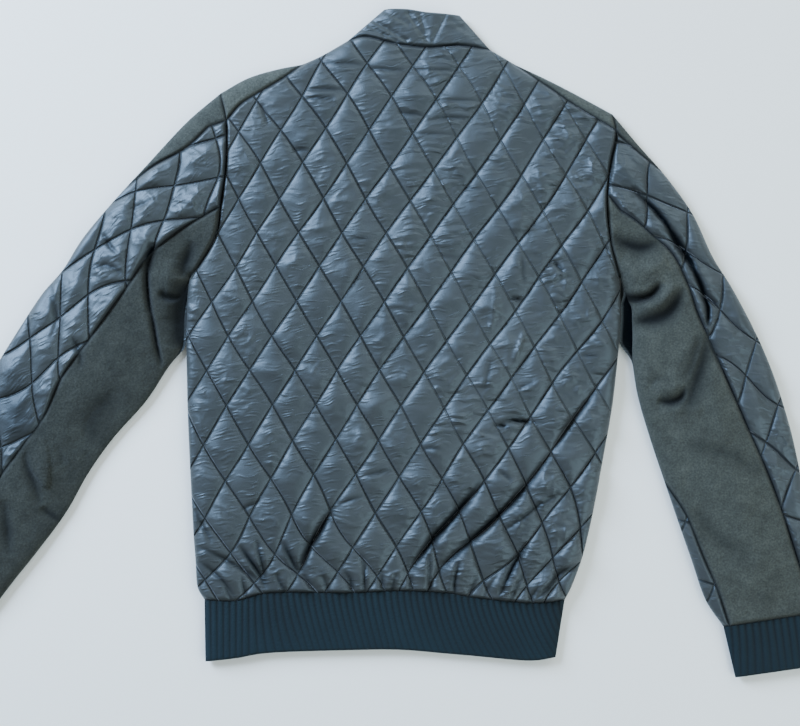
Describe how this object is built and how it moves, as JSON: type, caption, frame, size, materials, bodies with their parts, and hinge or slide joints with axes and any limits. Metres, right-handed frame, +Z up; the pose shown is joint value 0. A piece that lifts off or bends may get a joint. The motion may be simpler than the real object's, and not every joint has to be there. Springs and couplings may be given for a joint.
{
  "type": "quilted jacket",
  "caption": "Quilted bomber jacket lying flat, back up: diamond-quilted back, quilted and fleece sleeves, ribbed hem and cuffs, stand collar and closed front zip.",
  "frame": {"origin": "middle of the jacket's bounding box, at the surface it lies on", "axes": "+X to the right across the back as seen from above, +Y from the hem to the collar, +Z up from the surface, the way the back faces"},
  "size_m": [1.0796, 0.75, 0.0174],
  "materials": {
    "nylon": "quilted nylon with a soft sheen",
    "fleece": "matte wool fleece",
    "rib": "matte rib knit",
    "tape": "woven zip tape",
    "metal": "darkened metal"
  },
  "bodies": {
    "jacket": {"back": "nylon", "front_left": "fleece", "front_right": "fleece", "hem_rib": "rib", "collar": "nylon", "sleeve_left_quilt": "nylon", "sleeve_left_fleece": "fleece", "sleeve_left_top": "fleece", "sleeve_left_inseam": "nylon", "cuff_left": "rib", "sleeve_right_quilt": "nylon", "sleeve_right_fleece": "fleece", "sleeve_right_top": "fleece", "sleeve_right_inseam": "nylon", "cuff_right": "rib", "zip_tape_left": "tape", "zip_tape_right": "tape", "zip_chain": "metal", "zip_slider": "metal"},
    "pull_tab": {"zip_pull": "metal"}
  },
  "joints": [
    {"name": "pull_tab_swing", "type": "hinge", "parent": "jacket", "child": "pull_tab", "pos_m": [0.07484, 0.29229, 0.00165], "axis": [0.998, -0.0629, 0], "range_deg": [0, 130]}
  ]
}
